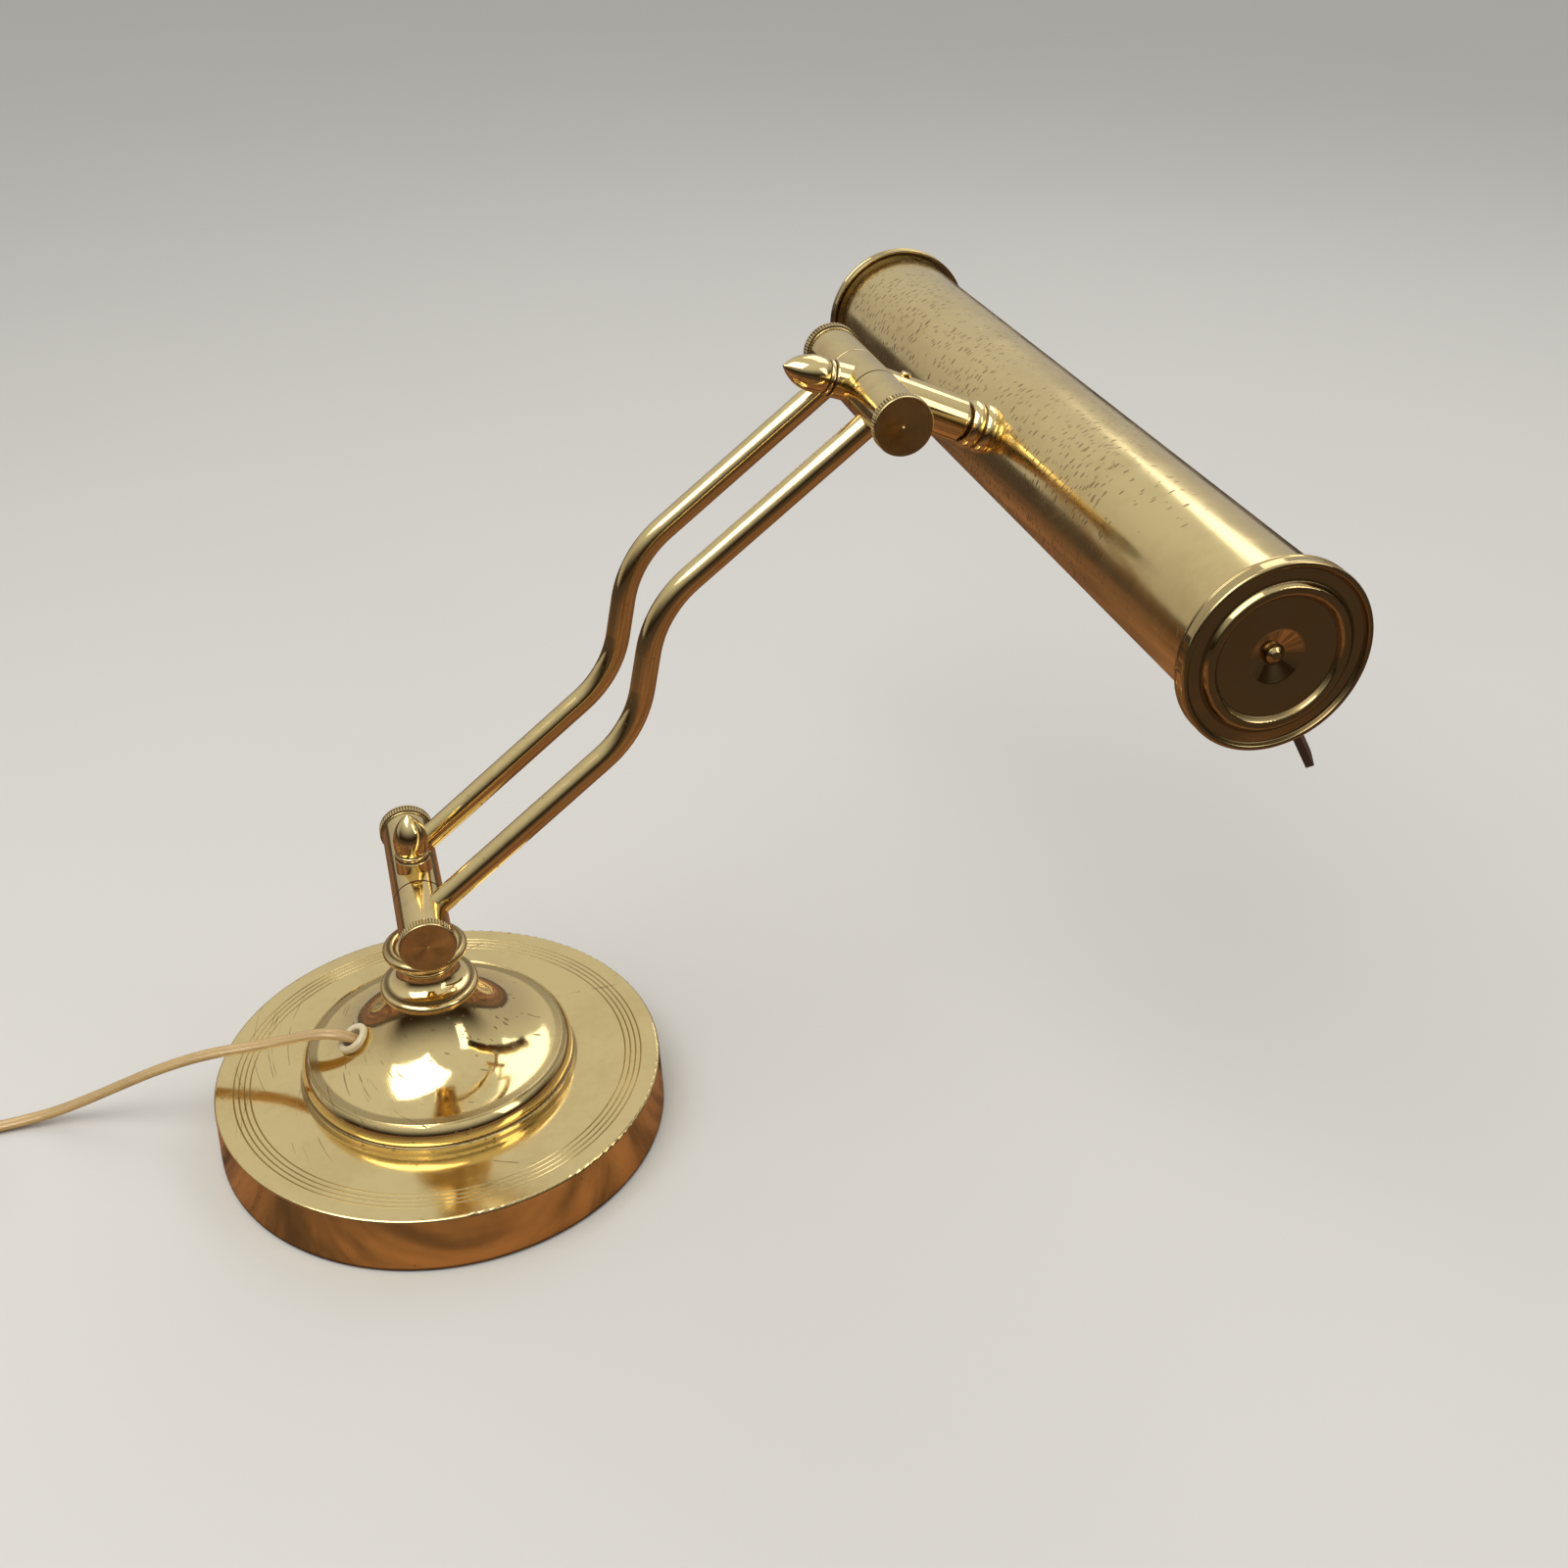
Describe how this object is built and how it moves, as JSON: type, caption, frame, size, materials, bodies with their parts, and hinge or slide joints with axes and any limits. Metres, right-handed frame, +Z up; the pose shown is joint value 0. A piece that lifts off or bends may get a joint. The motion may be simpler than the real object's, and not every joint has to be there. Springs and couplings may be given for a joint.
{
  "type": "swing arm desk lamp",
  "caption": "Brass desk lamp: weighted round base, twin bent arms between two cross knuckles, and a long tubular shade that tilts and swivels, with a coiled cord.",
  "frame": {"origin": "centre of the base's underside, at the felt pad's lower face", "axes": "+Z up; +X from the base towards the shade; +Y along the knuckles, away from the switch end of the shade"},
  "size_m": [0.5681, 0.3572, 0.3186],
  "materials": {
    "polished_brass": "lacquered solid brass, polished, with fine turning lines",
    "base_brass": "spun and lacquered brass, satin",
    "spun_brass": "satin lacquered sheet brass with fine age pitting",
    "cap_brass": "mirror polished spun brass",
    "felt": "dense wool felt",
    "cast_iron": "rough grey casting",
    "ivory_plastic": "moulded ivory thermoplastic",
    "spring_steel": "blued spring steel",
    "zinc_steel": "zinc plated steel",
    "fibre": "red vulcanised fibre",
    "cord_vinyl": "clear gold vinyl over stranded copper",
    "wire_vinyl": "clear gold vinyl over stranded copper",
    "black_tie": "coated wire tie",
    "plug_vinyl": "moulded vinyl",
    "blade_brass": "stamped bare brass",
    "phenolic": "moulded phenolic",
    "copper_liner": "pressed screw shell",
    "nickel": "nickel plated screw base",
    "bulb_glass": "clear tubular glass",
    "filament": "tungsten and nickel wire on a glass stem",
    "key_plastic": "dark brown moulded plastic"
  },
  "bodies": {
    "base": {"felt_pad": "felt", "base_weight": "cast_iron", "base_shell": "base_brass", "base_dish": "base_brass", "cord_bushing": "ivory_plastic", "base_collar": "polished_brass", "spring_washer": "spring_steel", "power_cord": "cord_vinyl", "cord_tail": "cord_vinyl", "cord_coil": "cord_vinyl", "cord_tie": "black_tie", "plug_body": "plug_vinyl", "plug_blades": "blade_brass"},
    "turret": {"turret_cup": "polished_brass", "turret_nipple": "zinc_steel", "turret_nut": "zinc_steel", "lower_knuckle_block": "polished_brass", "lower_finial": "polished_brass", "lower_axle": "zinc_steel", "lower_washer_near": "fibre", "lower_washer_far": "fibre"},
    "arm": {"lower_sleeve_near": "polished_brass", "lower_sleeve_far": "polished_brass", "arm_tube_near": "polished_brass", "arm_tube_far": "polished_brass", "upper_sleeve_near": "polished_brass", "upper_sleeve_far": "polished_brass", "arm_wire": "wire_vinyl"},
    "lower_cap_near": {"lower_cap_near": "polished_brass"},
    "lower_cap_far": {"lower_cap_far": "polished_brass"},
    "upper_cap_near": {"upper_cap_near": "polished_brass"},
    "upper_cap_far": {"upper_cap_far": "polished_brass"},
    "head": {"upper_knuckle_block": "polished_brass", "upper_finial": "polished_brass", "upper_axle": "zinc_steel", "upper_washer_near": "fibre", "upper_washer_far": "fibre", "stem_barrel": "polished_brass", "stem_nipple": "zinc_steel", "stem_set_screw": "polished_brass"},
    "shade": {"shade_neck": "polished_brass", "shade_nipple": "zinc_steel", "shade_lock_nut": "zinc_steel", "shade_tube": "spun_brass", "shade_cap_near": "cap_brass", "shade_cap_far": "cap_brass", "cap_screw_near": "polished_brass", "cap_screw_far": "polished_brass", "shade_strap_near": "zinc_steel", "shade_strap_far": "zinc_steel", "lamp_socket": "phenolic", "socket_liner": "copper_liner", "bulb_base": "nickel", "bulb_glass": "bulb_glass", "bulb_filament": "filament", "socket_leads": "wire_vinyl"},
    "switch_key": {"switch_key": "key_plastic"}
  },
  "joints": [
    {"name": "base_swivel", "type": "hinge", "parent": "base", "child": "turret", "pos_m": [0, 0, 0.081], "axis": [0, 0, 1], "range_deg": [-165, 165]},
    {"name": "arm_lift", "type": "hinge", "parent": "turret", "child": "arm", "pos_m": [0, 0, 0.1175], "axis": [0, -1, 0], "range_deg": [-40, 50]},
    {"name": "head_tilt", "type": "hinge", "parent": "arm", "child": "head", "pos_m": [0.1831, 0, 0.3048], "axis": [0, -1, 0], "range_deg": [-80, 90]},
    {"name": "shade_swivel", "type": "hinge", "parent": "head", "child": "shade", "pos_m": [0.22424, 0, 0.28657], "axis": [0.9143, 0, -0.4051], "range_deg": [-170, 170]},
    {"name": "switch_turn", "type": "hinge", "parent": "shade", "child": "switch_key", "pos_m": [0.25706, -0.161, 0.27202], "axis": [0.4985, 0, -0.8669], "range_deg": [0, 90]},
    {"name": "lower_cap_near_turn", "type": "hinge", "parent": "turret", "child": "lower_cap_near", "pos_m": [0, -0.041, 0.1175], "axis": [0, -1, 0], "range_deg": [0, 90]},
    {"name": "lower_cap_far_turn", "type": "hinge", "parent": "turret", "child": "lower_cap_far", "pos_m": [0, 0.041, 0.1175], "axis": [0, 1, 0], "range_deg": [0, 90]},
    {"name": "upper_cap_near_turn", "type": "hinge", "parent": "head", "child": "upper_cap_near", "pos_m": [0.1831, -0.041, 0.3048], "axis": [0, -1, 0], "range_deg": [0, 90]},
    {"name": "upper_cap_far_turn", "type": "hinge", "parent": "head", "child": "upper_cap_far", "pos_m": [0.1831, 0.041, 0.3048], "axis": [0, 1, 0], "range_deg": [0, 90]}
  ]
}
